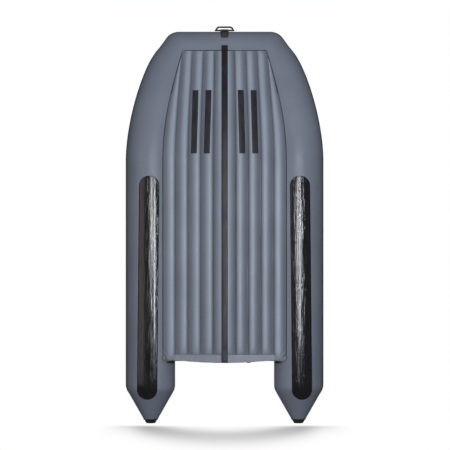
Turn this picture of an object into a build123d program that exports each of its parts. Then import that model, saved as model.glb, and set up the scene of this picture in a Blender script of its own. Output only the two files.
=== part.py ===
"""Inflatable dinghy, 3.3 m, with a ribbed inflatable floor.

Floating attitude: +Z up, bow toward -Y, port side at +X, millimetres.
The origin is under the middle of the whole boat, at the lowest point of the skid strips.
"""

import os
from math import cos, radians, sin

from build123d import *

os.makedirs("parts", exist_ok=True)

# Overall sizes
HULL_LENGTH = 3300
BEAM = 1660
RING_REACH = 45  # bow ring ahead of the bow tube
TUBE_R = 205
FABRIC = 1.2  # coated fabric with its seams
STRAKE_THICK = 5
STRAKE_HEIGHT = 44
SKID_THICK = 3  # wear strip under each side tube

BOW_Y = -(HULL_LENGTH + RING_REACH) / 2 + RING_REACH
STERN_Y = BOW_Y + HULL_LENGTH
TUBE_X = BEAM / 2 - STRAKE_THICK - TUBE_R
TUBE_Z = TUBE_R + SKID_THICK


def aft(distance):
    """Y of a station this far behind the bow."""
    return BOW_Y + distance


# Tube line: straight side tubes, curved bow quarters, straight bow tube
CURVE_Y = aft(1102)
CONE_Y = aft(3010)
CORNER_X = 350
BOW_RISE = 200
QUARTER_TURN = radians(34.7)
QUARTER_CLIMB = radians(20)
QUARTER_STUB = 119
QUARTER_REACH_AFT = 280  # how far the curve holds its direction at its after end
QUARTER_REACH_BOW = 173
BAFFLE_BACK = 60  # baffle behind the start of the curve

# Stern cones
CONE_TIP_R = 58
CAP_LENGTH = 32
CAP_BASE_R = 55
CAP_TIP_R = 38
CAP_ROUND = 5

# Inflated floor: one keel chamber and four chambers to a side
FLOOR_END_Y = aft(2723)
FLOOR_FRONT_Y = aft(168)
FLOOR_SKIN = 1.0
WELD_HEIGHT = 20  # height of the weld between neighbours
KEEL_CHAMBER_W = 190
SIDE_CHAMBER_W = 105
KEEL_CHAMBER_H = 80
SIDE_CHAMBER_H = 70
WELD_Z = 44
SIDE_LIFT = (3, 5, 5, 0)  # each chamber's lift above the keel chamber
FLOOR_HALF_FRONT = 354
FLOOR_HALF_AFT = 518
FLOOR_FLARE = 95  # outward lean of the seam at the front
FLOOR_EDGE_REACH = 330
FLOOR_LAP = 20  # chambers start this far ahead of the seam and are trimmed to it
FLOOR_RISE = 186
FLOOR_CLIMB = radians(20)
FLOOR_REACH = 340
FLANGE_LENGTH = 62
FLANGE_THICK = 1.5
FLANGE_KEEL_Z = 8
FLANGE_MID_Z = 21
FLANGE_SIDE_Z = 27
TRIM_LAP = 3  # glued strips start inside the skin and are trimmed to it

# Strips under the floor and tubes
KEEL_STRIP_W = 53
KEEL_STRIP_THICK = 3
KEEL_STRIP_FRONT = aft(126)
SKID_BAR_W = 50
SKID_BAR_LEN = 531
SKID_BAR_THICK = 4
SKID_BAR_FRONT = aft(496)
SKID_BARS = ((134, 148), (242, 256))  # distance from the keel at the front and back end
SKID_W = 170
SKID_FRONT = aft(1226)
SKID_BACK = aft(3094)
SKID_X = (627, 646)
STRAKE_END_Y = aft(3030)

# Transom
BOARD_THICK = 25
BOARD_Y = aft(2757)
BOARD_TOP = 432
BOARD_MOTOR_TOP = 384
BOARD_SIDE_TOP = 335
MOTOR_NOTCH = (135, 175)
BOARD_SHOULDER = 110  # level part of the board's top beside each tube
HOLDER_WIDTH = 64
HOLDER_THICK = 12
PAD_OUTER = (240, 6, 170)
PAD_INNER = (170, 12, 100)
PAD_OUTER_ROUND = 18
PAD_INNER_ROUND = 12
PAD_DROP = 2  # pads below the board's top edge

# Drain
DRAIN_X = 200
DRAIN_Z = 66
DRAIN_BORE_R = 12
DRAIN_BODY_R = 16
DRAIN_FLANGE_R = 27
DRAIN_FLANGE_T = 3
PLUG_LENGTH = 22
PLUG_HEAD_T = 5
PLUG_GRIP = (30, 5, 15)

# Rowlocks
ROWLOCK_Y = aft(1560)
ROWLOCK_BASE_R = 48
ROWLOCK_PIN_R = 7
ROWLOCK_FORK_R = 34
ROWLOCK_ROD_R = 6.5
ROWLOCK_BASE_TOP = 12
ROWLOCK_BASE_ROUND = 6
ROWLOCK_BOSS_TOP = 27
ROWLOCK_PIN_DEPTH = 24
ROWLOCK_COLLAR_T = 6

# Bench
BENCH_Y = aft(1950)
BENCH_WIDTH = 220
BENCH_THICK = 15
BENCH_LENGTH = 956
BENCH_CORNER = 35
BENCH_EDGE = 4
RAIL_X = 452
RAIL_LENGTH = 1000
RAIL_STEM_W = 10
RAIL_HEAD_W = 26
RAIL_HEAD_T = 6
RAIL_FOOT_W = 34
RAIL_FOOT_Z = 348  # top of the rail's foot
RAIL_STEM_H = 7
HOOK_LIFT = 3  # hook's lower edge above the foot
HOOK_WALL = 5
HOOK_LENGTH = 70

# Bow ring and carrying handle
RING_ROD_R = 6
RING_WIDTH = 165
RING_BAIL_W = 152
RING_BEND = 26
RING_TAPER = 4
RING_SLEEVE_R = RING_ROD_R + 4
RING_PATCH_W = 79
RING_PATCH_TOP = 44
RING_PATCH_LOW = 131
RING_Z = TUBE_Z + BOW_RISE - 14
HANDLE_X = 90
HANDLE_HEIGHT = 42
HANDLE_ROD_R = 8
HANDLE_BEND = 24
HANDLE_FOOT_R = 28
HANDLE_FOOT_T = 6

# Valves
VALVE_FLANGE_R = 35
VALVE_SINK = 6  # flange's lower edge inside the skin
VALVE_RIM = 2.5
VALVE_BARREL_R = 17
VALVE_BORE_R = 11
VALVE_DEPTH = 28
VALVE_STEM_R = 3
VALVE_CAP_R = 23
VALVE_CAP_H = 10
VALVE_HINGE_X = 30
VALVE_HINGE_Z = 6
VALVE_KNUCKLE_R = 3
VALVE_PIN_R = 1.5
VALVE_EAR_Y = 6
VALVE_EAR_T = 4
VALVE_SEAT_Z = -VALVE_DEPTH
VALVE_SPOKE_GAP_R = 2.6
VALVE_CAP_WALL = 3

# Fits
RUN_FIT = 0.05  # radial clearance of pins that turn and of the bench on its rails
LOOSE_FIT = 0.3  # side clearance between separate moving pieces

CENTRE_MIN = (Align.CENTER, Align.CENTER, Align.MIN)
LUG_ALIGN = (Align.MIN, Align.CENTER, Align.CENTER)
FRONT_LOW = (Align.CENTER, Align.MIN, Align.MIN)
INBOARD_LOW = (Align.MAX, Align.CENTER, Align.MIN)
BOW_CLIMB_DIR = Vector(
    -sin(QUARTER_TURN) * cos(QUARTER_CLIMB),
    -cos(QUARTER_TURN) * cos(QUARTER_CLIMB),
    sin(QUARTER_CLIMB),
)
CORNER = Vector(CORNER_X, BOW_Y + TUBE_R, TUBE_Z + BOW_RISE)
STRAIGHT_END = Vector(TUBE_X, CURVE_Y, TUBE_Z)
STUB_START = CORNER - BOW_CLIMB_DIR * QUARTER_STUB
MITRE = Plane(origin=CORNER, z_dir=BOW_CLIMB_DIR + Vector(-1, 0, 0))


def flip(shape):
    """The same shape on the other side of the boat."""
    return mirror(shape, about=Plane.YZ)


def quarter_path():
    return Bezier(
        STRAIGHT_END,
        STRAIGHT_END + Vector(0, -QUARTER_REACH_AFT, 0),
        STUB_START - BOW_CLIMB_DIR * QUARTER_REACH_BOW,
        STUB_START,
    )


def quarter(r):
    """Solid curved bow quarter of the port tube, cut at the mitre of the bow corner."""
    curved = sweep(Plane(origin=STRAIGHT_END, z_dir=(0, -1, 0)) * Circle(r), path=quarter_path())
    length = QUARTER_STUB + 2 * TUBE_R
    stub = Plane(origin=STUB_START, z_dir=BOW_CLIMB_DIR) * Cylinder(r, length, align=CENTRE_MIN)
    return curved + split(stub, bisect_by=MITRE, keep=Keep.BOTTOM)


def bow_tube(r):
    """Solid front tube between the two mitres."""
    rod = Pos(0, CORNER.Y, CORNER.Z) * Rot(0, 90, 0) * Cylinder(r, 4 * CORNER_X)
    half = split(split(rod, bisect_by=MITRE, keep=Keep.TOP), bisect_by=Plane.YZ, keep=Keep.TOP)
    return half + flip(half)


def side_tube(r):
    """Solid straight length of the port tube."""
    rod = Cylinder(r, CONE_Y - CURVE_Y, align=CENTRE_MIN)
    return Pos(TUBE_X, CURVE_Y, TUBE_Z) * Rot(-90, 0, 0) * rod


def cone(inset=0.0):
    """Solid stern cone of the port tube, made smaller all round by the inset."""
    tip_y = STERN_Y - CAP_LENGTH - inset
    mouth_y = CONE_Y - inset
    corners = [(0, mouth_y), (TUBE_R - inset, mouth_y)]
    if inset:
        corners.append((TUBE_R - inset, CONE_Y))
    corners += [(CONE_TIP_R - inset, tip_y), (0, tip_y)]
    body = revolve(make_face(Polyline(*corners, close=True)), axis=Axis.Y)
    return Pos(TUBE_X, 0, TUBE_Z) * body


def whole_side(r):
    """Port tube from the bow corner to the shoulder of the cone, as one closed volume."""
    return quarter(r) + side_tube(r)


def strip_prism(front, back, width, round_ends=True):
    """Tall prism over a strip that runs between two points of the plan."""
    along = Vector(back) - Vector(front)
    middle = (Vector(front) + Vector(back)) * 0.5
    turn = -Vector(0, 1, 0).get_signed_angle(along, Vector(0, 0, -1))
    outline = SlotOverall(along.length, width) if round_ends else Rectangle(along.length, width)
    return extrude(Pos(middle.X, middle.Y, -TUBE_R) * Rot(0, 0, turn + 90) * outline, amount=4 * TUBE_R)


def save(shape, name):
    export_step(shape, f"parts/{name}.step")


def save_pair(shape, name):
    save(shape, f"{name}_port")
    save(flip(shape), f"{name}_starboard")


# ---------------------------------------------------------------- tubes
tube_solid = whole_side(TUBE_R)
bow_solid = bow_tube(TUBE_R)
cone_solid = cone()
hull_volume = tube_solid + cone_solid
PORT_VALVE = Pos(TUBE_X, aft(2560), TUBE_Z) * Rot(0, -40, 0) * Pos(0, 0, TUBE_R)
BOW_VALVE = Pos(150, CORNER.Y, CORNER.Z) * Rot(-40, 0, 0) * Pos(0, 0, TUBE_R) * Rot(0, 0, 90)
valve_hole = Cylinder(VALVE_FLANGE_R, 60)

side_skin = side_tube(TUBE_R) - side_tube(TUBE_R - FABRIC)
side_skin = side_skin - PORT_VALVE * valve_hole
save_pair(side_skin, "side_tube")
quarter_skin = quarter(TUBE_R) - quarter(TUBE_R - FABRIC)
save_pair(quarter_skin, "bow_quarter_tube")
bow_skin = bow_solid - bow_tube(TUBE_R - FABRIC)
bow_skin = bow_skin - BOW_VALVE * valve_hole
save(bow_skin, "bow_tube")
save_pair(cone_solid - cone(FABRIC), "stern_cone")

cap_disc = Cone(CAP_BASE_R, CAP_TIP_R, CAP_LENGTH, align=CENTRE_MIN)
cap_disc = fillet(cap_disc.faces().sort_by(Axis.Z)[-1].edges(), CAP_ROUND)
cap = Pos(TUBE_X, STERN_Y - CAP_LENGTH, TUBE_Z) * Rot(-90, 0, 0) * cap_disc
save_pair(cap, "cone_cap")

baffle = Cylinder(TUBE_R - FABRIC, FABRIC)
save_pair(Pos(TUBE_X, CURVE_Y + BAFFLE_BACK, TUBE_Z) * Rot(90, 0, 0) * baffle, "air_baffle")


# ---------------------------------------------------------------- inflated floor
def floor_plan(inset=0.0):
    """Tall prism inside the seam line where the floor is glued to the tubes."""
    half_front = FLOOR_HALF_FRONT - inset
    half_aft = FLOOR_HALF_AFT - inset
    front = FLOOR_FRONT_Y + inset
    back = FLOOR_END_Y - inset
    with BuildSketch() as sketch:
        with BuildLine():
            Line((0, front), (half_front, front))
            Bezier(
                (half_front, front),
                (half_front + FLOOR_FLARE, front + FLOOR_EDGE_REACH),
                (half_aft, CURVE_Y - FLOOR_EDGE_REACH),
                (half_aft, CURVE_Y),
            )
            Polyline((half_aft, CURVE_Y), (half_aft, back), (0, back), (0, front))
        make_face()
        mirror(about=Plane.YZ)
    return extrude(Pos(0, 0, -TUBE_R) * sketch.sketch, amount=4 * TUBE_R)


def chamber_profile(width, height, thin=0.0):
    """Section of one chamber: arched top and bottom between two short welds."""
    half = width / 2 - thin
    weld = WELD_HEIGHT / 2 - thin / 2
    rise = height / 2 - thin
    with BuildSketch() as sketch:
        with BuildLine():
            ThreePointArc((-half, weld), (0, rise), (half, weld))
            Line((half, weld), (half, -weld))
            ThreePointArc((half, -weld), (0, -rise), (-half, -weld))
            Line((-half, -weld), (-half, weld))
        make_face()
    return sketch.sketch


def floor_path(x, z, start_y):
    """Level from the back of the floor, then climbing to the seam under the bow tube."""
    nose = Vector(x, FLOOR_FRONT_Y - FLOOR_LAP, z + FLOOR_RISE)
    climb = Vector(0, -cos(FLOOR_CLIMB), sin(FLOOR_CLIMB))
    level = Line((x, start_y, z), (x, CURVE_Y, z))
    curve = Bezier(
        (x, CURVE_Y, z),
        (x, CURVE_Y - FLOOR_REACH, z),
        nose - climb * FLOOR_REACH,
        nose,
    )
    return Wire([level, curve])


def floor_sweep(profile, x, z, start_y=FLOOR_END_Y):
    base = Plane(origin=(x, start_y, z), x_dir=(1, 0, 0), z_dir=(0, -1, 0))
    return sweep(base * profile, path=floor_path(x, z, start_y))


def chamber_volume(x, z, width, height, thin=0.0, clip=True):
    body = floor_sweep(chamber_profile(width, height, thin), x, z)
    body = body & floor_plan(thin)
    cutters = [bow_tube(TUBE_R + thin)]
    if clip:
        cutters.append(whole_side(TUBE_R + thin))
    for cutter in cutters:
        body = body - cutter
    return largest(body)


def largest(shape):
    return max(shape.solids(), key=lambda s: s.volume)


keel_outer = chamber_volume(0, WELD_Z, KEEL_CHAMBER_W, KEEL_CHAMBER_H, clip=False)
keel_inner = chamber_volume(0, WELD_Z, KEEL_CHAMBER_W, KEEL_CHAMBER_H, FLOOR_SKIN, clip=False)
FLOOR_VALVE = Pos(0, aft(1300), WELD_Z + KEEL_CHAMBER_H / 2)
keel_chamber = (keel_outer - keel_inner) - FLOOR_VALVE * valve_hole
save(keel_chamber, "keel_chamber")

side_chambers = []
for number, lift in enumerate(SIDE_LIFT, start=1):
    x = KEEL_CHAMBER_W / 2 + SIDE_CHAMBER_W * (number - 0.5)
    z = WELD_Z + lift
    clip = number > 1
    outer = chamber_volume(x, z, SIDE_CHAMBER_W, SIDE_CHAMBER_H, clip=clip)
    inner = chamber_volume(x, z, SIDE_CHAMBER_W, SIDE_CHAMBER_H, FLOOR_SKIN, clip=clip)
    side_chambers.append((x, z, outer))
    save(outer - inner, f"floor_chamber_port_{number}")
    save(flip(outer - inner), f"floor_chamber_starboard_{number}")


def flange_line(drop):
    return Spline(
        (0, FLANGE_KEEL_Z - drop),
        (KEEL_CHAMBER_W, FLANGE_MID_Z - 3 - drop),
        (3 * SIDE_CHAMBER_W, FLANGE_MID_Z + 2 - drop),
        (FLOOR_HALF_AFT - 2, FLANGE_SIDE_Z - drop),
    )


with BuildPart() as flange_part:
    with BuildSketch(Plane.XZ):
        with BuildLine():
            top = flange_line(0)
            bottom = flange_line(FLANGE_THICK)
            Line(top @ 0, bottom @ 0)
            Line(top @ 1, bottom @ 1)
        make_face()
    extrude(amount=-FLANGE_LENGTH)
flange = Pos(0, FLOOR_END_Y, 0) * flange_part.part
flange = largest(flange - side_tube(TUBE_R))
flange = flange + flip(flange)
save(flange, "floor_stern_flap")

# ---------------------------------------------------------------- wear strips
strip_depth = KEEL_STRIP_THICK + TRIM_LAP
strip_z = WELD_Z - KEEL_CHAMBER_H / 2 + TRIM_LAP - strip_depth / 2
strip = floor_sweep(Rectangle(KEEL_STRIP_W, strip_depth), 0, strip_z)
strip_bottom = strip_z - strip_depth / 2
heel = Box(KEEL_STRIP_W, FLANGE_LENGTH, FLANGE_KEEL_Z, align=FRONT_LOW)
heel = Pos(0, FLOOR_END_Y, strip_bottom) * heel
nose = Box(KEEL_STRIP_W, FLOOR_FRONT_Y - KEEL_STRIP_FRONT, FLOOR_RISE / 3, align=FRONT_LOW)
nose = Pos(0, KEEL_STRIP_FRONT, strip_bottom + FLOOR_RISE - TRIM_LAP) * nose
keel_strip = strip + heel + nose
for cutter in (keel_outer, bow_solid, flange):
    keel_strip = keel_strip - cutter
keel_strip = largest(keel_strip)
save(keel_strip, "keel_strip")

skid_names = ("inner", "outer")
for (front_x, back_x), chamber, name in zip(SKID_BARS, side_chambers, skid_names):
    x, z, outer = chamber
    skin = floor_sweep(chamber_profile(SIDE_CHAMBER_W, SIDE_CHAMBER_H + 2 * SKID_BAR_THICK), x, z)
    front = (front_x, SKID_BAR_FRONT)
    back = (back_x, SKID_BAR_FRONT + SKID_BAR_LEN)
    bar = (skin - outer) & strip_prism(front, back, SKID_BAR_W, round_ends=False)
    bar = min(bar.solids(), key=lambda s: s.center().Z)
    save_pair(bar, f"skid_bar_{name}")

cone_fall = (TUBE_R - CONE_TIP_R) / (STERN_Y - CAP_LENGTH - CONE_Y)
wear_end = SKID_BACK + FLOOR_LAP
wear_end_r = TUBE_R - cone_fall * (wear_end - CONE_Y)
wear_start = SKID_FRONT - FLOOR_LAP
with BuildPart() as wear_part:
    with BuildSketch(Plane.XY):
        with BuildLine():
            Polyline(
                (TUBE_R, wear_start),
                (TUBE_R, CONE_Y),
                (wear_end_r, wear_end),
                (wear_end_r + SKID_THICK, wear_end),
                (TUBE_R + SKID_THICK, CONE_Y),
                (TUBE_R + SKID_THICK, wear_start),
                close=True,
            )
        make_face()
    revolve(axis=Axis.Y)
skid = Pos(TUBE_X, 0, TUBE_Z) * wear_part.part
skid = skid & strip_prism((SKID_X[0], SKID_FRONT), (SKID_X[1], SKID_BACK), SKID_W)
skid = min(skid.solids(), key=lambda s: s.center().Z)
save_pair(skid, "wear_strip")

# ---------------------------------------------------------------- rubbing strakes
strake_band = Rectangle(3 * STRAKE_THICK, STRAKE_HEIGHT, align=(Align.MAX, Align.CENTER))
strake_band = Pos(TUBE_R + STRAKE_THICK, 0) * strake_band
strake_lead = Line(STUB_START, STUB_START + BOW_CLIMB_DIR * (QUARTER_STUB * 0.6))
strake_base = Plane(origin=STRAIGHT_END, x_dir=(1, 0, 0), z_dir=(0, -1, 0))
fore_band = sweep(strake_base * strake_band, path=Wire([quarter_path(), strake_lead]), normal=(0, 0, 1))
aft_band = extrude(strake_base * strake_band, amount=CURVE_Y - STRAKE_END_Y)
strake = largest(fore_band + aft_band - hull_volume)
save_pair(strake, "rubbing_strake")

# ---------------------------------------------------------------- transom
holder_foot = HOLDER_THICK / 3
with BuildPart() as board_part:
    with BuildSketch(Plane.XZ):
        with BuildLine():
            bottom = flange_line(0)
            Polyline(
                bottom @ 1,
                (FLOOR_HALF_AFT - 2, BOARD_SIDE_TOP),
                (FLOOR_HALF_AFT - BOARD_SHOULDER, BOARD_SIDE_TOP),
                (MOTOR_NOTCH[1], BOARD_TOP),
                (MOTOR_NOTCH[0], BOARD_MOTOR_TOP),
                (0, BOARD_MOTOR_TOP),
                bottom @ 0,
            )
        make_face()
    extrude(amount=BOARD_THICK / 2, both=True)
board = Pos(0, BOARD_Y, 0) * board_part.part
board = largest(board - side_tube(TUBE_R + holder_foot))
board = board + flip(board)
drain_at = Pos(DRAIN_X, BOARD_Y, DRAIN_Z) * Rot(-90, 0, 0)
board = board - drain_at * Cylinder(DRAIN_BODY_R, 2 * BOARD_THICK)
save(board, "transom_board")

holder = side_tube(TUBE_R + HOLDER_THICK) - side_tube(TUBE_R)
holder_top = BOARD_SIDE_TOP + 5
holder_foot_z = 2 * FLANGE_SIDE_Z
holder_box = Box(TUBE_R, HOLDER_WIDTH, holder_top - holder_foot_z, align=INBOARD_LOW)
holder = (holder & (Pos(TUBE_X, BOARD_Y, holder_foot_z) * holder_box)) - board
save_pair(largest(holder), "transom_holder")

pad_top = BOARD_MOTOR_TOP - PAD_DROP
outer_y = BOARD_Y + BOARD_THICK / 2 + PAD_OUTER[1] / 2
inner_y = BOARD_Y - BOARD_THICK / 2 - PAD_INNER[1] / 2
outer_pad = Pos(0, outer_y, pad_top - PAD_OUTER[2] / 2) * Box(*PAD_OUTER)
inner_pad = Pos(0, inner_y, pad_top - PAD_INNER[2] / 2) * Box(*PAD_INNER)
save(fillet(outer_pad.edges().filter_by(Axis.Y), PAD_OUTER_ROUND), "motor_pad_outer")
save(fillet(inner_pad.edges().filter_by(Axis.Y), PAD_INNER_ROUND), "motor_pad_inner")

# ---------------------------------------------------------------- drain
back_face = BOARD_THICK / 2
barrel_len = BOARD_THICK + 2
drain_body = Pos(0, 0, back_face - barrel_len) * Cylinder(DRAIN_BODY_R, barrel_len, align=CENTRE_MIN)
drain_body += Pos(0, 0, back_face) * Cylinder(DRAIN_FLANGE_R, DRAIN_FLANGE_T, align=CENTRE_MIN)
drain_body -= Cylinder(DRAIN_BORE_R, 4 * BOARD_THICK)
save(drain_at * drain_body, "drain_body")
plug_face = back_face + DRAIN_FLANGE_T + RUN_FIT
plug = Cylinder(DRAIN_BORE_R - RUN_FIT, PLUG_LENGTH, align=CENTRE_MIN)
plug = Pos(0, 0, plug_face - PLUG_LENGTH) * plug
plug += Pos(0, 0, plug_face) * Cylinder(DRAIN_BODY_R + DRAIN_FLANGE_T, PLUG_HEAD_T, align=CENTRE_MIN)
plug += Pos(0, 0, plug_face) * Box(*PLUG_GRIP, align=CENTRE_MIN)
save(drain_at * plug, "drain_plug")

# ---------------------------------------------------------------- rowlocks
tube_top = TUBE_Z + TUBE_R
rowlock_at = Pos(TUBE_X, ROWLOCK_Y, tube_top)
base_height = ROWLOCK_BASE_TOP + ROWLOCK_PIN_R
rowlock_base = Pos(0, 0, -ROWLOCK_PIN_R) * Cylinder(ROWLOCK_BASE_R, base_height, align=CENTRE_MIN)
rowlock_base = fillet(rowlock_base.faces().sort_by(Axis.Z)[-1].edges(), ROWLOCK_BASE_ROUND)
rowlock_base += Cylinder(2.3 * ROWLOCK_PIN_R, ROWLOCK_BOSS_TOP, align=CENTRE_MIN)
pin_hole = Cylinder(ROWLOCK_PIN_R, ROWLOCK_PIN_DEPTH, align=CENTRE_MIN)
rowlock_base -= Pos(0, 0, ROWLOCK_BOSS_TOP - ROWLOCK_PIN_DEPTH) * pin_hole
rowlock_base = rowlock_at * rowlock_base - side_tube(TUBE_R)
save_pair(rowlock_base, "rowlock_base")
pin_len = ROWLOCK_PIN_DEPTH - 1
collar_z = ROWLOCK_BOSS_TOP + LOOSE_FIT
fork_z = collar_z + ROWLOCK_COLLAR_T + ROWLOCK_FORK_R + ROWLOCK_ROD_R / 2
fork = Rot(0, 90, 0) * Torus(ROWLOCK_FORK_R, ROWLOCK_ROD_R)
fork_side = 3 * ROWLOCK_FORK_R
fork -= Pos(0, 0, ROWLOCK_ROD_R) * Box(fork_side, fork_side, fork_side, align=CENTRE_MIN)
pin = Cylinder(ROWLOCK_PIN_R - RUN_FIT, pin_len, align=CENTRE_MIN)
rowlock = Pos(0, 0, collar_z - pin_len) * pin
rowlock += Pos(0, 0, collar_z) * Cylinder(2 * ROWLOCK_PIN_R, ROWLOCK_COLLAR_T, align=CENTRE_MIN)
rowlock += Pos(0, 0, fork_z) * fork
save_pair(rowlock_at * rowlock, "rowlock")

# ---------------------------------------------------------------- bench
head_z = RAIL_FOOT_Z + RAIL_STEM_H
rail_foot = Box(RAIL_FOOT_W, RAIL_LENGTH, 60, align=(Align.CENTER, Align.CENTER, Align.MAX))
rail = Pos(0, 0, RAIL_FOOT_Z) * rail_foot
rail += Pos(0, 0, RAIL_FOOT_Z) * Box(RAIL_STEM_W, RAIL_LENGTH, RAIL_STEM_H, align=CENTRE_MIN)
rail += Pos(0, 0, head_z) * Box(RAIL_HEAD_W, RAIL_LENGTH, RAIL_HEAD_T, align=CENTRE_MIN)
rail = largest(Pos(RAIL_X, BENCH_Y, 0) * rail - side_tube(TUBE_R))
save_pair(rail, "bench_rail")

slot_w = RAIL_HEAD_W + 2 * LOOSE_FIT
hook_w = slot_w + 2 * HOOK_WALL
hook_z = RAIL_FOOT_Z + HOOK_LIFT
hook_top = head_z + RAIL_HEAD_T + RUN_FIT + HOOK_WALL
hook = Pos(0, 0, hook_z) * Box(hook_w, HOOK_LENGTH, hook_top - hook_z, align=CENTRE_MIN)
head_slot = Box(slot_w, 2 * HOOK_LENGTH, RAIL_HEAD_T + 2 * RUN_FIT, align=CENTRE_MIN)
stem_slot = Box(RAIL_STEM_W + 2 * LOOSE_FIT, 2 * HOOK_LENGTH, RAIL_STEM_H, align=CENTRE_MIN)
hook -= Pos(0, 0, head_z - RUN_FIT) * head_slot
hook -= Pos(0, 0, hook_z) * stem_slot
hook = Pos(RAIL_X, BENCH_Y, 0) * hook
save(Compound(children=[hook, flip(hook)]), "bench_hooks")

bench = Pos(0, BENCH_Y, hook_top) * Box(BENCH_LENGTH, BENCH_WIDTH, BENCH_THICK, align=CENTRE_MIN)
bench = fillet(bench.edges().filter_by(Axis.Z), BENCH_CORNER)
save(fillet(bench.faces().sort_by(Axis.Z)[-1].edges(), BENCH_EDGE), "bench_board")

# ---------------------------------------------------------------- bow ring and handle
ring_y = BOW_Y - RING_ROD_R - SKID_THICK
ring_reach = RING_REACH - (BOW_Y - ring_y) - RING_ROD_R
leg_x = RING_BAIL_W / 2 - RING_ROD_R
bail_line = FilletPolyline(
    (-leg_x, 0, 0),
    (-leg_x + RING_TAPER, -ring_reach, 0),
    (leg_x - RING_TAPER, -ring_reach, 0),
    (leg_x, 0, 0),
    radius=RING_BEND,
)
bail_start = Plane(origin=(-leg_x, 0, 0), z_dir=bail_line % 0)
ring = sweep(bail_start * Circle(RING_ROD_R), path=bail_line)
ring += Rot(0, 90, 0) * Cylinder(RING_ROD_R, RING_WIDTH)
save(Pos(0, ring_y, RING_Z) * ring, "bow_ring")

patch_height = RING_PATCH_LOW + RING_PATCH_TOP
patch_box = Box(RING_PATCH_W, TUBE_R, patch_height, align=(Align.CENTER, Align.MAX, Align.MIN))
patch_box = Pos(0, CORNER.Y, RING_Z - RING_PATCH_LOW) * patch_box
patch = (bow_tube(TUBE_R + SKID_THICK) - bow_solid) & patch_box
sleeve = Pos(0, ring_y, RING_Z) * Rot(0, 90, 0) * Cylinder(RING_SLEEVE_R, RING_PATCH_W * 0.75)
bore = Pos(0, ring_y, RING_Z) * Rot(0, 90, 0) * Cylinder(RING_ROD_R + RUN_FIT, 2 * RING_WIDTH)
holder = largest(patch) + (sleeve - bow_solid) - bore
save(largest(holder), "bow_ring_holder")

handle_line = FilletPolyline(
    (-HANDLE_X, 0, 0),
    (-HANDLE_X, 0, HANDLE_HEIGHT),
    (HANDLE_X, 0, HANDLE_HEIGHT),
    (HANDLE_X, 0, 0),
    radius=HANDLE_BEND,
)
handle = sweep(Pos(-HANDLE_X, 0, 0) * Circle(HANDLE_ROD_R), path=handle_line)
for side in (-1, 1):
    foot = Cylinder(HANDLE_FOOT_R, 2 * HANDLE_FOOT_T)
    handle += Pos(side * HANDLE_X, 0, 0) * foot
handle = Pos(0, CORNER.Y, CORNER.Z + TUBE_R) * handle - bow_solid
save(handle, "bow_carry_handle")

# ---------------------------------------------------------------- air valves
def valve_body():
    flange_height = VALVE_SINK + VALVE_RIM
    body = Pos(0, 0, -VALVE_SINK) * Cylinder(VALVE_FLANGE_R, flange_height, align=CENTRE_MIN)
    body += Pos(0, 0, VALVE_SEAT_Z) * Cylinder(VALVE_BARREL_R, VALVE_DEPTH, align=CENTRE_MIN)
    ear_height = VALVE_HINGE_Z + VALVE_KNUCKLE_R
    for side in (-1, 1):
        ear = Box(2 * VALVE_KNUCKLE_R, VALVE_EAR_T, ear_height, align=CENTRE_MIN)
        body += Pos(VALVE_HINGE_X, side * (VALVE_EAR_Y + VALVE_EAR_T / 2), 0) * ear
    pin_hole = Rot(90, 0, 0) * Cylinder(VALVE_PIN_R + RUN_FIT, 3 * VALVE_FLANGE_R)
    body -= Pos(VALVE_HINGE_X, 0, VALVE_HINGE_Z) * pin_hole
    bore = Cylinder(VALVE_BORE_R, 3 * VALVE_DEPTH)
    spider = Cylinder(VALVE_BORE_R, VALVE_EAR_T)
    spider -= Cylinder(VALVE_STEM_R + RUN_FIT, 2 * VALVE_EAR_T)
    spoke_gap = Pos(VALVE_BORE_R * 0.64, 0, 0) * Cylinder(VALVE_SPOKE_GAP_R, 2 * VALVE_EAR_T)
    for angle in range(0, 360, 90):
        spider -= Rot(0, 0, angle) * spoke_gap
    return (body - bore) + Pos(0, 0, VALVE_SEAT_Z / 2) * spider


def valve_plunger():
    """Stem with a button at its outer end and a sealing disc under the barrel."""
    button_t = VALVE_STEM_R
    disc_t = 2
    stem_low = VALVE_SEAT_Z - LOOSE_FIT
    stem = Cylinder(VALVE_STEM_R, -stem_low - button_t, align=CENTRE_MIN)
    plunger = Pos(0, 0, stem_low) * stem
    plunger += Pos(0, 0, -2 * button_t) * Cylinder(2 * VALVE_STEM_R, button_t, align=CENTRE_MIN)
    disc = Cylinder(VALVE_BORE_R + VALVE_STEM_R, disc_t, align=CENTRE_MIN)
    return plunger + Pos(0, 0, stem_low - disc_t) * disc


def valve_cap():
    """Hollow cap with a lug to its hinge pin, closed over the flange."""
    low = VALVE_RIM + LOOSE_FIT
    cap = Pos(0, 0, low) * Cylinder(VALVE_CAP_R, VALVE_CAP_H, align=CENTRE_MIN)
    cap = fillet(cap.faces().sort_by(Axis.Z)[-1].edges(), VALVE_CAP_WALL - 0.5)
    inner_r = VALVE_CAP_R - VALVE_CAP_WALL
    cap -= Pos(0, 0, low) * Cylinder(inner_r, VALVE_CAP_H - VALVE_CAP_WALL, align=CENTRE_MIN)
    knuckle_w = 2 * (VALVE_EAR_Y - LOOSE_FIT)
    lug_from = VALVE_CAP_R - VALVE_CAP_WALL / 2
    lug = Box(VALVE_HINGE_X - lug_from, knuckle_w, 2 * VALVE_KNUCKLE_R - 1, align=LUG_ALIGN)
    cap += Pos(lug_from, 0, VALVE_HINGE_Z) * lug
    knuckle = Cylinder(VALVE_KNUCKLE_R, knuckle_w)
    pin = Cylinder(VALVE_PIN_R, 2 * (VALVE_EAR_Y + VALVE_EAR_T))
    return cap + Pos(VALVE_HINGE_X, 0, VALVE_HINGE_Z) * Rot(90, 0, 0) * (knuckle + pin)


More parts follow.
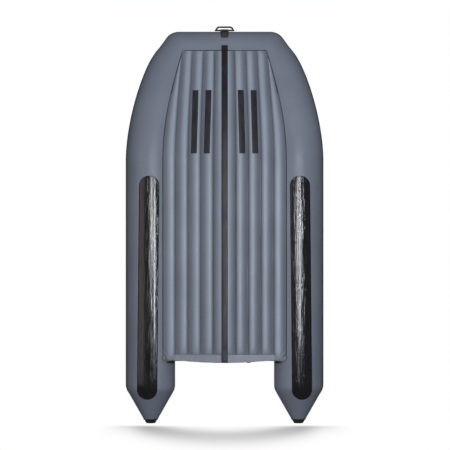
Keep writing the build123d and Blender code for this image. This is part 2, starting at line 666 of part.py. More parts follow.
def save_valve(at, name, pair=False):
    keep = save_pair if pair else save
    keep(at * valve_body(), f"{name}_valve_body")
    keep(at * valve_plunger(), f"{name}_valve_plunger")
    keep(at * valve_cap(), f"{name}_valve_cap")


save_valve(PORT_VALVE, "side", pair=True)
save_valve(BOW_VALVE, "bow")
save_valve(FLOOR_VALVE, "floor")
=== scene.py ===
"""Looks of the inflatable dinghy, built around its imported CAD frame. Metres, bow toward -Y, port at +X."""

import math

import bmesh
import bpy
from mathutils import Matrix, Vector, noise


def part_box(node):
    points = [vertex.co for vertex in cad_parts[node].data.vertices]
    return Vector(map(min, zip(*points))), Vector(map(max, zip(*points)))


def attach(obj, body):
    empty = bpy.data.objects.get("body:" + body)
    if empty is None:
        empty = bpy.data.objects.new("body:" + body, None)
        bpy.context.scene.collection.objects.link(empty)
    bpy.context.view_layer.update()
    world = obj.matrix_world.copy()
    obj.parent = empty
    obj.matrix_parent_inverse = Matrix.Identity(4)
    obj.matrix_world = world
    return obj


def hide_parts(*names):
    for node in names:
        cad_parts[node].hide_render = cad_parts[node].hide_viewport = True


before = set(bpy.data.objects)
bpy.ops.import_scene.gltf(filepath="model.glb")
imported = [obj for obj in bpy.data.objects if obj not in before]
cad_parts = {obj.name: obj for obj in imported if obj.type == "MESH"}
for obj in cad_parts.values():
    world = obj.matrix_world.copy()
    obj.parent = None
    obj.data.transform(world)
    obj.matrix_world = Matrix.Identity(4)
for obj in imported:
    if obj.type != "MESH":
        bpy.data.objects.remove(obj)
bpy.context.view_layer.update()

# ---------------------------------------------------------------- sizes taken from the frame
tube_lo, tube_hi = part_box("side_tube_port")
bow_lo, bow_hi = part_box("bow_tube")
_cap_lo, cap_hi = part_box("cone_cap_port")
TUBE_R = (tube_hi[0] - tube_lo[0]) / 2
TUBE_X = (tube_hi[0] + tube_lo[0]) / 2
TUBE_Z = (tube_hi[2] + tube_lo[2]) / 2
CURVE_Y = tube_lo[1]
CONE_Y = tube_hi[1]
TIP_Y = cap_hi[1]
BOW_Y = bow_lo[1]
CORNER = Vector((0.350, BOW_Y + TUBE_R, (bow_lo[2] + bow_hi[2]) / 2))
QUARTER_TURN = math.radians(34.7)
QUARTER_CLIMB = math.radians(20)
QUARTER_STUB = 0.119
QUARTER_REACH_AFT = 0.280
QUARTER_REACH_BOW = 0.173
CLIMB_DIR = Vector((
    -math.sin(QUARTER_TURN) * math.cos(QUARTER_CLIMB),
    -math.cos(QUARTER_TURN) * math.cos(QUARTER_CLIMB),
    math.sin(QUARTER_CLIMB),
))
ACROSS = Vector((-1, 0, 0))
UP = Vector((0, 0, 1))
CONE_TIP_R = 0.058
CAP_LENGTH = 0.032
CAP_BASE_R = 0.055
CAP_TIP_R = 0.038

KEEL_HALF = 0.091
CHAMBER_W = 0.105
FLOOR_FRONT = 0.168  # behind the bow
FLOOR_END = 2.723
FLAP_END = 2.785
FLAP_HALF = 0.440
FLOOR_HALF_AFT = 0.518
WELD_LOW = 0.034
WELD_HIGH = 0.056
FLOOR_RISE = 0.172
RISE_START = 1.102

KEEL_BULGE = 0.030
CHAMBER_BULGE = 0.0285
TOP_BULGE = 0.025
BULGE_END = 0.085  # length over which a chamber closes
TOP_FRONT = 0.315
TOP_SQUEEZE = 0.040
# width of the painted dark shade along the floor seam
SEAM_SHADE_WIDTH = 0.0075

KEEL_STRIP_HALF = 0.0265
KEEL_STRIP_FRONT = 0.126
KEEL_STRIP_THICK = 0.0034
WEAR_HALF = 0.085
WEAR_THICK = 0.0029
WEAR_FRONT = (0.627, 1.226)  # x and distance behind the bow
WEAR_BACK = (0.646, 3.094)
BAR_HALF = 0.025
BAR_THICK = 0.0042
BAR_X = {"inner": 0.134, "outer": 0.242}
BAR_FRONT = 0.510
BAR_BACK = 1.041
BAR_SPREAD = 0.014  # how much further out a bar ends than it starts
STRAKE_STOP = 3.055
RING_ROD = 0.0072
RING_LEG = 0.070
RING_BEND = 0.025
SLEEVE_R = 0.0100
SLEEVE_HALF = 0.030
PATCH_HALF = 0.0395

ROUND = 72  # faces round a tube
STEPS = 12  # faces across a chamber


def aft(distance):
    return BOW_Y + distance


def behind(y):
    return y - BOW_Y


def smooth(edge0, edge1, x):
    t = min(1.0, max(0.0, (x - edge0) / (edge1 - edge0)))
    return t * t * (3 - 2 * t)


def lerp(a, b, t):
    return a + (b - a) * t


def rough(p, scale, seed=0.0):
    """Smooth noise between about -1 and 1."""
    return noise.noise(Vector((p[0] * scale + seed, p[1] * scale - seed, p[2] * scale)))


# ---------------------------------------------------------------- mesh helpers
def new_object(name, verts, faces, smooth_faces=True):
    mesh = bpy.data.meshes.new(name)
    mesh.from_pydata([tuple(v) for v in verts], [], faces)
    mesh.update()
    obj = bpy.data.objects.new(name, mesh)
    bpy.context.scene.collection.objects.link(obj)
    if smooth_faces:
        for polygon in mesh.polygons:
            polygon.use_smooth = True
    return obj


def fix_normals(obj):
    work = bmesh.new()
    work.from_mesh(obj.data)
    bmesh.ops.remove_doubles(work, verts=work.verts, dist=1e-6)
    bmesh.ops.recalc_face_normals(work, faces=work.faces)
    work.to_mesh(obj.data)
    work.free()
    return obj


def grid_faces(rows, columns, closed=False, start=0):
    wrap = columns if closed else columns - 1
    faces = []
    for r in range(rows - 1):
        for c in range(wrap):
            d = (c + 1) % columns
            faces.append((start + r * columns + c, start + r * columns + d,
                          start + (r + 1) * columns + d, start + (r + 1) * columns + c))
    return faces


def loft(name, rings):
    """Closed mesh through rings of equal length."""
    columns = len(rings[0])
    verts = [p for line in rings for p in line]
    faces = grid_faces(len(rings), columns, closed=True)
    faces.append(tuple(range(columns)))
    last = (len(rings) - 1) * columns
    faces.append(tuple(last + c for c in range(columns)))
    return fix_normals(new_object(name, verts, faces))


def mirrored(obj, name):
    """A copy of obj on the other side of the boat."""
    mesh = obj.data.copy()
    for v in mesh.vertices:
        v.co.x = -v.co.x
    mesh.flip_normals()
    copy = bpy.data.objects.new(name, mesh)
    bpy.context.scene.collection.objects.link(copy)
    return copy


def shade_sharp(obj, degrees=40):
    """Smooth faces that break at sharp edges."""
    limit = math.radians(degrees)
    work = bmesh.new()
    work.from_mesh(obj.data)
    for edge in work.edges:
        if len(edge.link_faces) == 2 and edge.calc_face_angle(0) > limit:
            edge.smooth = False
    for face in work.faces:
        face.smooth = True
    work.to_mesh(obj.data)
    work.free()


# ---------------------------------------------------------------- tube line
def cone_radius(distance):
    """Tube radius this far behind the bow: constant, then a cone with a soft shoulder."""
    cone_start = behind(CONE_Y)
    cone_end = behind(TIP_Y) - CAP_LENGTH
    slope = (TUBE_R - CONE_TIP_R) / (cone_end - cone_start)
    line = TUBE_R - slope * (distance - cone_start)
    soft = 0.006
    gap = max(-30.0, min(30.0, (line - TUBE_R) / soft))
    return TUBE_R - soft * math.log(1 + math.exp(-gap)) if gap > -29 else line


def bezier(p0, p1, p2, p3, t):
    s = 1 - t
    point = p0 * s**3 + p1 * (3 * s * s * t) + p2 * (3 * s * t * t) + p3 * t**3
    slope = (p1 - p0) * (3 * s * s) + (p2 - p1) * (6 * s * t) + (p3 - p2) * (3 * t * t)
    return point, slope.normalized()


STRAIGHT_END = Vector((TUBE_X, CURVE_Y, TUBE_Z))
STUB_START = CORNER - CLIMB_DIR * QUARTER_STUB
QUARTER_POINTS = (
    STRAIGHT_END,
    STRAIGHT_END + Vector((0, -QUARTER_REACH_AFT, 0)),
    STUB_START - CLIMB_DIR * QUARTER_REACH_BOW,
    STUB_START,
)


def tube_frame(point, along):
    """Point, outboard direction and upward direction of a section."""
    up = (UP - along * UP.dot(along)).normalized()
    return point, up.cross(along), up


def on_tube(section, angle, radius):
    """A point of a section, the angle counted upward from the outboard side."""
    point, out, up = section
    return point + out * (radius * math.cos(angle)) + up * (radius * math.sin(angle))


def ring(section, radius, wobble=None):
    """Points round a section; wobble(angle, point) is added to the radius."""
    points = []
    for i in range(ROUND):
        angle = 2 * math.pi * i / ROUND
        points.append(on_tube(section, angle, radius + (wobble(angle, section[0]) if wobble else 0.0)))
    return points


def pucker(angle, point):
    """Small ripples of the fabric beside the floor seam, on the inner lower side of a tube."""
    away = abs((angle - math.radians(242) + math.pi) % (2 * math.pi) - math.pi)
    near = math.exp(-((away / 0.16) ** 2))
    ripple = math.sin(point[1] * 130 + 2.5 * math.sin(point[1] * 17))
    soft = 0.0007 * rough((point[0] + math.cos(angle), point[1], math.sin(angle)), 3.2)
    return 0.0009 * near * ripple + soft


def straight_rings():
    rings = []
    count = 90
    for i in range(count + 1):
        y = lerp(CONE_Y - 0.03, CURVE_Y, i / count)
        rings.append(ring(tube_frame(Vector((TUBE_X, y, TUBE_Z)), Vector((0, -1, 0))), TUBE_R, pucker))
    return rings


def cone_rings():
    """From the cap to the start of the straight tube, with pleats near the cap and the shoulder."""
    rings = []
    count = 44
    cap_y = TIP_Y - CAP_LENGTH

    def pleat(angle, point):
        tip = math.exp(-abs(point[1] - cap_y) / 0.05)
        shoulder = math.exp(-(((point[1] - CONE_Y) / 0.022) ** 2))
        folds = math.sin(angle * 22 + 1.3 * math.sin(angle * 5))
        return 0.0003 * tip * folds + 0.0008 * shoulder * folds

    for i in range(count + 1):
        y = lerp(cap_y, CONE_Y - 0.03, i / count)
        section = tube_frame(Vector((TUBE_X, y, TUBE_Z)), Vector((0, -1, 0)))
        rings.append(ring(section, cone_radius(behind(y)), pleat if i < count else pucker))
    return rings


def quarter_rings():
    rings = []
    count = 70
    for i in range(count + 1):
        point, along = bezier(*QUARTER_POINTS, i / count)
        rings.append(ring(tube_frame(point, along), TUBE_R, pucker))
    return rings


def corner_rings():
    """Round the mitred bow corner: wide on the outer side, a tight crease on the inner one."""
    end = tube_frame(STUB_START, CLIMB_DIR)
    base = ring(end, TUBE_R)
    normal = (CLIMB_DIR + ACROSS).normalized()
    inward = (ACROSS - CLIMB_DIR).normalized()
    turn = math.acos(CLIMB_DIR.dot(ACROSS))
    steps = 14  # round the corner
    lead = 8  # before it
    front_rows = 40  # from the corner to the middle of the bow tube
    columns = []
    for i, start in enumerate(base):
        angle = 2 * math.pi * i / ROUND
        outer = (1 + math.cos(angle)) / 2
        radius = lerp(0.005, 0.115, outer)
        sharp = start + CLIMB_DIR * ((CORNER - start).dot(normal) / CLIMB_DIR.dot(normal))
        tangent = radius * math.tan(turn / 2)
        centre = sharp + inward * (radius / math.cos(turn / 2))
        fold = math.sin(angle * 34 + 2 * math.sin(angle * 3))
        points = [start.lerp(sharp - CLIMB_DIR * tangent, j / lead) for j in range(lead)]
        for j in range(steps + 1):
            swing = lerp(-turn / 2, turn / 2, j / steps)
            points.append(centre - inward * (radius * math.cos(swing)) + normal * (radius * math.sin(swing)))
        front = Vector((0, sharp.y, sharp.z))
        last = points[-1]
        for j in range(1, front_rows + 1):
            points.append(last.lerp(front, (j / front_rows) ** 1.4))
        columns.append((points, fold, outer))
    rings = []
    for row in range(len(columns[0][0])):
        line = []
        for points, fold, outer in columns:
            p = points[row]
            to_mitre = abs((p - CORNER).dot(normal))
            axis = CORNER + CLIMB_DIR * min(0.0, (p - CORNER).dot(CLIMB_DIR))
            size = 0.0016 * math.exp(-to_mitre / 0.045) * (1 - 0.75 * outer) * smooth(0.0, 0.012, to_mitre)
            line.append(p + (p - axis).normalized() * (size * fold))
        rings.append(line)
    split = lead + steps // 2
    return rings[: split + 1], rings[split:]


def open_loft(name, rings):
    verts = [p for r in rings for p in r]
    return fix_normals(new_object(name, verts, grid_faces(len(rings), ROUND, closed=True)))


def face_outward(obj, inside):
    """Turns an open tube's normals away from a point inside it."""
    mesh = obj.data
    polygon = mesh.polygons[len(mesh.polygons) // 2]
    if polygon.normal.dot(polygon.center - inside) < 0:
        mesh.flip_normals()
    return obj


# ---------------------------------------------------------------- floor surfaces
def sample_tube_line():
    """Points of the tubes' middle line from the start of the bow quarter to the middle of the bow."""
    points = []
    for i in range(161):
        points.append(bezier(*QUARTER_POINTS, i / 160)[0])
    for i in range(1, 31):
        points.append(STUB_START.lerp(CORNER, i / 30))
    for i in range(1, 81):
        points.append(CORNER.lerp(Vector((0, CORNER.y, CORNER.z)), i / 80))
    return points


TUBE_LINE = sample_tube_line()


def tube_under(x, distance):
    """Height of the underside of the tubes at a place in the plan, or None outside them."""
    x = abs(x)
    y = aft(distance)
    if y >= CURVE_Y:
        side = abs(x - TUBE_X)
        r = cone_radius(distance)
        return TUBE_Z - math.sqrt(r * r - side * side) if side < r else None
    best = None
    for c in TUBE_LINE:
        flat = (x - c.x) ** 2 + (y - c.y) ** 2
        if flat < TUBE_R * TUBE_R:
            z = c.z - math.sqrt(TUBE_R * TUBE_R - flat)
            if best is None or z < best:
                best = z
    return best


def half_width(distance):
    """Half width of the floor at the seam."""
    if distance >= RISE_START:
        return FLOOR_HALF_AFT
    lo, hi = 0.0, 1.0
    for _ in range(30):
        t = (lo + hi) / 2
        p, _slope = bezier(*FLOOR_EDGE, t)
        if p.y < distance:
            lo = t
        else:
            hi = t
    return bezier(*FLOOR_EDGE, lo)[0].x


FLOOR_EDGE = (
    Vector((0.354, FLOOR_FRONT, 0)),
    Vector((0.449, FLOOR_FRONT + 0.330, 0)),
    Vector((FLOOR_HALF_AFT, RISE_START - 0.330, 0)),
    Vector((FLOOR_HALF_AFT, RISE_START, 0)),
)


def rise(distance):
    """How much the floor climbs toward the bow."""
    t = max(0.0, (RISE_START - distance) / (RISE_START - FLOOR_FRONT))
    return FLOOR_RISE * t**2.15


def arch(t, half, height):
    """Circular arch over -1..1."""
    if height < 1e-5:
        return 0.0
    radius = (half * half + height * height) / (2 * height)
    return math.sqrt(max(0.0, radius * radius - (t * half) ** 2)) - (radius - height)


def chamber_edges(width, distance):
    """The valleys between chambers across one half of the floor, keel chamber first."""
    draw_in = lerp(0.88, 1.0, smooth(FLOOR_FRONT - 0.2, RISE_START, distance))
    edges = [(KEEL_HALF + CHAMBER_W * k) * draw_in for k in range(4)] + [width]
    for k in range(4):
        edges[k] = min(edges[k], width - 0.004 * (4 - k))
    return edges


def across(width, distance):
    """(x, chamber half width, place in the chamber -1..1, chamber number) for a full row."""
    edges = chamber_edges(width, distance)
    spans = [(-edges[0], edges[0], 0)]
    for k in range(4):
        spans.append((edges[k], edges[k + 1], k + 1))
        spans.insert(0, (-edges[k + 1], -edges[k], -(k + 1)))
    row = []
    for lo, hi, number in spans:
        steps = 2 * STEPS if number == 0 else STEPS
        for i in range(steps):
            t = -math.cos(math.pi * i / steps)
            row.append((lerp(lo, hi, (t + 1) / 2), (hi - lo) / 2, t, number))
    row.append((spans[-1][1], (spans[-1][1] - spans[-1][0]) / 2, 1.0, 4))
    return row


def end_round(distance, front):
    """How full a chamber is near its ends, 0 at the seam and 1 inside."""
    t = min(1.0, max(0.0, min(distance - front, FLOOR_END - distance) / BULGE_END))
    return math.sqrt(1 - (1 - t) ** 2)


def leaned(t, number):
    """Place across a chamber with its ridge moved toward the keel."""
    return t + 0.40 * (1 - t * t) * ((number > 0) - (number < 0))


def under_floor(x, distance, half, t, number, width):
    """Height of the chambers' underside. half, t and number come from across()."""
    seam = tube_under(width, distance)
    seam = (WELD_LOW if seam is None else seam) - 0.001
    centre = WELD_LOW + rise(distance)
    base = lerp(centre, seam, min(1.0, abs(x) / width) ** 3)
    full = KEEL_BULGE if number == 0 else CHAMBER_BULGE * min(1.0, half / (CHAMBER_W / 2))
    start = FLOOR_FRONT + 0.004 * abs(number)
    height = full * end_round(distance, start)
    z = base - arch(leaned(t, number), half, height)
    ends = math.exp(-(distance - FLOOR_FRONT) / 0.07) + math.exp(-(FLOOR_END - distance) / 0.06)
    pleats = math.sin(x * 260 + 2.2 * math.sin(x * 31)) * math.sqrt(max(0.0, 1 - t * t))
    seam_near = math.exp(-((1 - abs(t)) * half / 0.010) ** 2)
    ripple = math.sin(distance * 118 + number * 2.1 + 1.7 * math.sin(distance * 13 + number))
    z += 0.0015 * ends * pleats + 0.0007 * seam_near * ripple * (1 - abs(abs(t) - 0.9))
    z += 0.0018 * rough((x, distance, number * 0.7), 5.0)
    folds = smooth(2.60, 2.70, distance) * smooth(0.40, 0.44, abs(x))
    z -= 0.0045 * folds * math.sin(abs(x) * 150 + distance * 130)
    return max(z, 0.0042)


def over_floor(x, distance, half, t, number, width):
    """Height of the chambers' upper side."""
    base = WELD_HIGH + rise(distance) + 0.004 * (abs(x) / width) ** 2
    full = KEEL_BULGE if number == 0 else TOP_BULGE * min(1.0, half / (CHAMBER_W / 2))
    height = full * end_round(distance, TOP_FRONT)
    z = base + arch(t, half, height)
    return z + 0.0014 * rough((x, distance, number * 0.7 + 5), 5.0)


def overrun(x, distance):
    """How much further aft the outermost chambers reach, where they are folded under the tubes."""
    return 0.040 * smooth(2.50, FLOOR_END, distance) * smooth(0.400, 0.425, abs(x))


def floor_rows(surface, front, squeeze, count=210):
    """Rows of points of one side of the floor, from its front seam aft."""
    rows = []
    for i in range(count + 1):
        t = i / count
        ease = 0.5 - 0.5 * math.cos(math.pi * t)
        distance = lerp(front, FLOOR_END, lerp(t, ease, 0.75))
        width = half_width(distance) - squeeze
        row = []
        for x, half, place, number in across(width, distance):
            z = surface(x, distance, half, place, number, width)
            row.append(Vector((x, aft(distance + overrun(x, distance)), z)))
        rows.append(row)
    return rows


def make_floor():
    """All chambers as one closed skin. A point attribute holds painted shade that darkens the valleys;
    material 1 is painted shade along the seam.
    """
    low = floor_rows(under_floor, FLOOR_FRONT, 0.0)
    high = floor_rows(over_floor, TOP_FRONT, TOP_SQUEEZE)
    rows, columns = len(low), len(low[0])
    verts = [p for r in low for p in r] + [p for r in high for p in r]
    faces = grid_faces(rows, columns)
    faces += [tuple(reversed(f)) for f in grid_faces(rows, columns, start=rows * columns)]
    half = rows * columns
    border = [(r * columns, (r + 1) * columns) for r in range(rows - 1)]
    border += [(r * columns + columns - 1, (r + 1) * columns + columns - 1) for r in range(rows - 1)]
    border += [(c, c + 1) for c in range(columns - 1)]
    border += [((rows - 1) * columns + c, (rows - 1) * columns + c + 1) for c in range(columns - 1)]
    faces += [(a, b, b + half, a + half) for a, b in border]
    obj = new_object("inflated_floor", verts, faces)
    painted_valley_shade = obj.data.attributes.new("painted_valley_shade", "FLOAT", "POINT")
    # painted shade: darker toward the valleys between chambers, more on each chamber's long leaned flank
    valley_shade_by_column = [1 - 0.52 * smooth(0.25, 1.0, abs(leaned(t, number)))
               for _x, _half, t, number in across(1.0, FLOOR_END)]
    for i, value in enumerate(painted_valley_shade.data):
        value.value = valley_shade_by_column[i % columns] if i < half else 1.0
    fix_normals(obj)
    shade_sharp(obj, 75)
    for polygon in obj.data.polygons:
        x, y, z = polygon.center
        width = half_width(behind(y))
        # underside faces by the seam take the painted seam shade
        seam = abs(x) > width - SEAM_SHADE_WIDTH or behind(y) < FLOOR_FRONT + SEAM_SHADE_WIDTH - 0.001
        low_side = z < WELD_LOW + 0.032 + rise(behind(y)) * 1.2
        polygon.material_index = 1 if seam and low_side else 0
    return obj


def underside(x, distance):
    """Height of the lowest fabric at a place in the plan: floor, flap or bow tube."""
    if distance < FLOOR_FRONT:
        return tube_under(x, distance)
    if distance > FLOOR_END:
        return flap_height(x, distance)
    width = half_width(distance)
    row = across(width, distance)
    for place in range(len(row) - 1):
        if row[place][0] <= x <= row[place + 1][0]:
            a, b = row[place], row[place + 1]
            t = (x - a[0]) / max(1e-9, b[0] - a[0])
            za = under_floor(a[0], distance, a[1], a[2], a[3], width)
            zb = under_floor(b[0], distance, a[1], 1.0 if b[3] != a[3] else b[2], a[3], width)
            return lerp(za, zb, t)
    return WELD_LOW


def flap_height(x, distance):
    """The flat flap behind the chambers, with loose ripples and folded outer corners."""
    side = abs(x) / FLOOR_HALF_AFT
    z = 0.0052 + 0.0200 * side**0.75
    out = smooth(0.72, 0.98, side)
    back = smooth(FLOOR_END, FLAP_END, distance)
    z += 0.0006 * math.sin(x * 95 + 2 * math.sin(x * 23)) * (0.3 + 0.7 * back)
    z += 0.0025 * out * math.sin(x * 210 + distance * 90) * (1 - 0.5 * back)
    return z


def make_flap():
    """The thin flap, with its free edge drawn forward at the sides."""
    rows = []
    for j in range(13):
        row = []
        for i in range(121):
            x = lerp(-FLAP_HALF, FLAP_HALF, i / 120)
            end = FLAP_END - 0.026 * (x / FLAP_HALF) ** 2 + 0.0005 * math.sin(x * 60)
            distance = lerp(FLOOR_END - 0.006, end, j / 12)
            row.append(Vector((x, aft(distance), flap_height(x, distance))))
        rows.append(row)
    verts = [p for line in rows for p in line]
    obj = new_object("stern_flap_skin", verts, grid_faces(len(rows), len(rows[0])))
    obj.data.flip_normals()
    skin = obj.modifiers.new("cloth", "SOLIDIFY")
    skin.thickness = 0.0016
    skin.offset = 0
    return obj


# ---------------------------------------------------------------- strips
def slot_half(t, length, half):
    """Half width of a round-ended strip at t along it, 0..1."""
    run = t * length
    end = min(run, length - run)
    if end >= half:
        return half
    return math.sqrt(max(0.0, half * half - (half - end) ** 2))


def make_strip(name, front, back, half, thickness, height, rounded=True, rows=160, columns=17, edge=0.004):
    """A rubber strip lying on a surface. front and back are (x, distance); height gives the surface."""
    length = back[1] - front[1]
    rings = []
    for i in range(rows + 1):
        t = 0.5 - 0.5 * math.cos(math.pi * i / rows) if rounded else i / rows
        t = lerp(i / rows, t, 0.85)
        distance = lerp(front[1], back[1], t)
        middle = lerp(front[0], back[0], t)
        wide = max(0.0004, slot_half(t, length, half)) if rounded else half
        end = min(1.0, min(t, 1 - t) * length / edge)
        low, high = [], []
        for c in range(columns):
            u = -math.cos(math.pi * c / (columns - 1))
            x = middle + u * wide
            surface = height(x, distance)
            side = min(1.0, (1 - abs(u)) * wide / edge)
            bevel = math.sqrt(max(0.0, 1 - (1 - side) ** 2)) * math.sqrt(max(0.0, 1 - (1 - end) ** 2))
            low.append(Vector((x, aft(distance), surface - thickness * (0.25 + 0.75 * bevel))))
            high.append(Vector((x, aft(distance), surface + 0.001)))
        rings.append(low + high[::-1])
    obj = loft(name, rings)
    shade_sharp(obj, 55)
    return obj


def tube_bottom(x, distance):
    r = cone_radius(distance)
    side = abs(x) - TUBE_X
    return TUBE_Z - math.sqrt(max(1e-6, r * r - side * side))


def keel_line(x, distance):
    """The surface under the keel strip, eased from the keel chamber down to the flap."""
    edge = FLOOR_END - 0.05
    if distance < edge:
        return underside(x, distance)
    return lerp(underside(x, edge), flap_height(x, distance), smooth(edge, FLOOR_END, distance))


def make_keel_strip():
    return make_strip("keel_strip_rubber", (0, KEEL_STRIP_FRONT), (0, FLAP_END), KEEL_STRIP_HALF,
                      KEEL_STRIP_THICK, keel_line, rounded=False, rows=220, columns=13)


def make_wear_strip():
    return make_strip("wear_strip_rubber_port", WEAR_FRONT, WEAR_BACK, WEAR_HALF, WEAR_THICK,
                      tube_bottom, rows=200, columns=25)


def make_skid_bar(label):
    x = BAR_X[label]
    return make_strip(f"skid_bar_{label}_rubber_port", (x, BAR_FRONT), (x + BAR_SPREAD, BAR_BACK), BAR_HALF,
                      BAR_THICK, underside, rounded=False, rows=90, columns=13)


# ---------------------------------------------------------------- strake, caps, ring
def strake_sections():
    """(section, radius) along the outer side, from the cone's shoulder to the bow corner."""
    sections = []
    for i in range(61):
        distance = lerp(STRAKE_STOP, RISE_START, i / 60)
        section = tube_frame(Vector((TUBE_X, aft(distance), TUBE_Z)), Vector((0, -1, 0)))
        sections.append((section, cone_radius(distance)))
    for i in range(1, 61):
        point, along = bezier(*QUARTER_POINTS, i / 60)
        sections.append((tube_frame(point, along), TUBE_R))
    for i in range(1, 9):
        point = STUB_START + CLIMB_DIR * (0.050 * i / 8)
        sections.append((tube_frame(point, CLIMB_DIR), TUBE_R))
    return sections


# (height round the tube, depth) from the lower edge to the upper one; the groove holds the stripe
STRAKE_PROFILE = (
    (-0.0230, -0.0005), (-0.0215, 0.0022), (-0.0180, 0.0040), (-0.0120, 0.0049), (-0.0075, 0.0046),
    (-0.0060, 0.0026), (-0.0030, 0.0029), (0.0, 0.0030), (0.0030, 0.0029), (0.0060, 0.0026),
    (0.0075, 0.0046), (0.0120, 0.0049), (0.0180, 0.0040), (0.0215, 0.0022), (0.0230, -0.0005),
)


def rounded_key(point):
    return tuple(round(v, 5) for v in point)


def make_strake():
    """The strake, with its groove as the faces of the second material."""
    rings = []
    sections = strake_sections()
    count = len(sections)
    for i, (section, radius) in enumerate(sections):
        end = min(1.0, i / 2.0, (count - 1 - i) / 14.0)
        line = []
        narrow, flat = lerp(0.75, 1.0, end), lerp(0.25, 1.0, end)
        for height, depth in STRAKE_PROFILE:
            line.append(on_tube(section, height * narrow / radius, radius + depth * flat))
        for height, _depth in (STRAKE_PROFILE[-1], STRAKE_PROFILE[0]):
            line.append(on_tube(section, height / radius, radius - 0.001))
        rings.append(line)
    obj = loft("rubbing_strake_rubber_port", rings)
    shade_sharp(obj, 35)
    column_at = {rounded_key(p): column for line in rings for column, p in enumerate(line)}
    first, last = 5, 9  # the groove's columns in the profile
    for polygon in obj.data.polygons:
        columns = [column_at.get(rounded_key(obj.data.vertices[i].co), -1) for i in polygon.vertices]
        if first <= min(columns) and max(columns) <= last and max(columns) - min(columns) == 1:
            polygon.material_index = 1
    return obj


def lathe(name, profile, origin, axis, count=64):
    """Solid of revolution. profile is (along, radius) pairs."""
    axis = Vector(axis).normalized()
    side = axis.orthogonal().normalized()
    other = axis.cross(side)
    rings = []
    for along, radius in profile:
        rings.append([Vector(origin) + axis * along
                      + side * (radius * math.cos(2 * math.pi * i / count))
                      + other * (radius * math.sin(2 * math.pi * i / count)) for i in range(count)])
    obj = loft(name, rings)
    shade_sharp(obj, 35)
    return obj


def make_cone_cap():
    """Tapered rubber cap with a lip over the cone's end and a dished face."""
    profile = [(-0.005, CAP_BASE_R + 0.0065), (-0.002, CAP_BASE_R + 0.0065),
               (0.003, CAP_BASE_R + 0.0035), (0.006, CAP_BASE_R - 0.003)]
    fall = (CAP_BASE_R - CAP_TIP_R) / CAP_LENGTH
    for along in (0.010, 0.014, 0.0145, 0.0165, 0.017, 0.024):
        groove = 0.0012 if 0.0142 < along < 0.0168 else 0.0
        profile.append((along, CAP_BASE_R - fall * along - groove))
    edge = 0.006
    for i in range(9):
        a = math.pi / 2 * i / 8
        profile.append((CAP_LENGTH - edge + edge * math.sin(a), CAP_TIP_R - 0.005 + edge * math.cos(a)))
    dish = CAP_LENGTH - 0.0012
    profile += [(CAP_LENGTH, 0.020), (dish, 0.018), (dish, 0.004), (dish, 0.0006)]
    return lathe("cone_cap_rubber_port", profile, (TUBE_X, TIP_Y - CAP_LENGTH, TUBE_Z), (0, 1, 0))


def round_path(points, radius, steps=8):
    """The corners of a polyline turned into arcs."""
    points = [Vector(p) for p in points]
    out = [points[0]]
    for before, corner, after in zip(points, points[1:], points[2:]):
        a, b = (before - corner).normalized(), (after - corner).normalized()
        half = a.angle(b) / 2
        reach = radius / math.tan(half)
        centre = corner + (a + b).normalized() * (radius / math.sin(half))
        start, end = corner + a * reach - centre, corner + b * reach - centre
        swing = start.angle(end)
        for i in range(steps + 1):
            t = i / steps
            arm = start * math.sin((1 - t) * swing) + end * math.sin(t * swing)
            out.append(centre + arm / math.sin(swing))
    return out + [points[-1]]


def pipe(name, path, radius, count=20):
    """A round rod along a path of points."""
    rings = []
    up = None
    for i, point in enumerate(path):
        ahead = path[min(i + 1, len(path) - 1)] - path[max(i - 1, 0)]
        along = ahead.normalized()
        if up is None:
            up = along.orthogonal().normalized()
        up = (up - along * up.dot(along)).normalized()
        side = along.cross(up)
        rings.append([point + up * (radius * math.cos(2 * math.pi * k / count))
                      + side * (radius * math.sin(2 * math.pi * k / count)) for k in range(count)])
    return loft(name, rings)


def join(name, objects):
    """One object from several."""
    work = bmesh.new()
    for obj in objects:
        work.from_mesh(obj.data)
        bpy.data.objects.remove(obj)
    mesh = bpy.data.meshes.new(name)
    work.to_mesh(mesh)
    work.free()
    joined = bpy.data.objects.new(name, mesh)
    bpy.context.scene.collection.objects.link(joined)
    return joined


ring_lo, ring_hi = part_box("bow_ring")
RING_Y = ring_hi[1] - RING_ROD
RING_Z = (ring_lo[2] + ring_hi[2]) / 2


def make_bow_ring():
    """A straight bar in the sleeve and a bail with slightly leaning legs."""
    front = ring_lo[1] + RING_ROD
    lean = RING_LEG - 0.004
    bail = round_path([(-RING_LEG, RING_Y, RING_Z), (-lean, front, RING_Z), (lean, front, RING_Z),
                       (RING_LEG, RING_Y, RING_Z)], RING_BEND)
    bar = [Vector((lerp(ring_lo[0], ring_hi[0], i / 10), RING_Y, RING_Z)) for i in range(11)]
    return join("bow_ring_rod", [pipe("bail", bail, RING_ROD), pipe("bar", bar, RING_ROD)])


def on_bow(x, turn, radius):
    """A point round the bow tube, turned upward from straight ahead."""
    return Vector((x, CORNER.y - radius * math.cos(turn), CORNER.z + radius * math.sin(turn)))


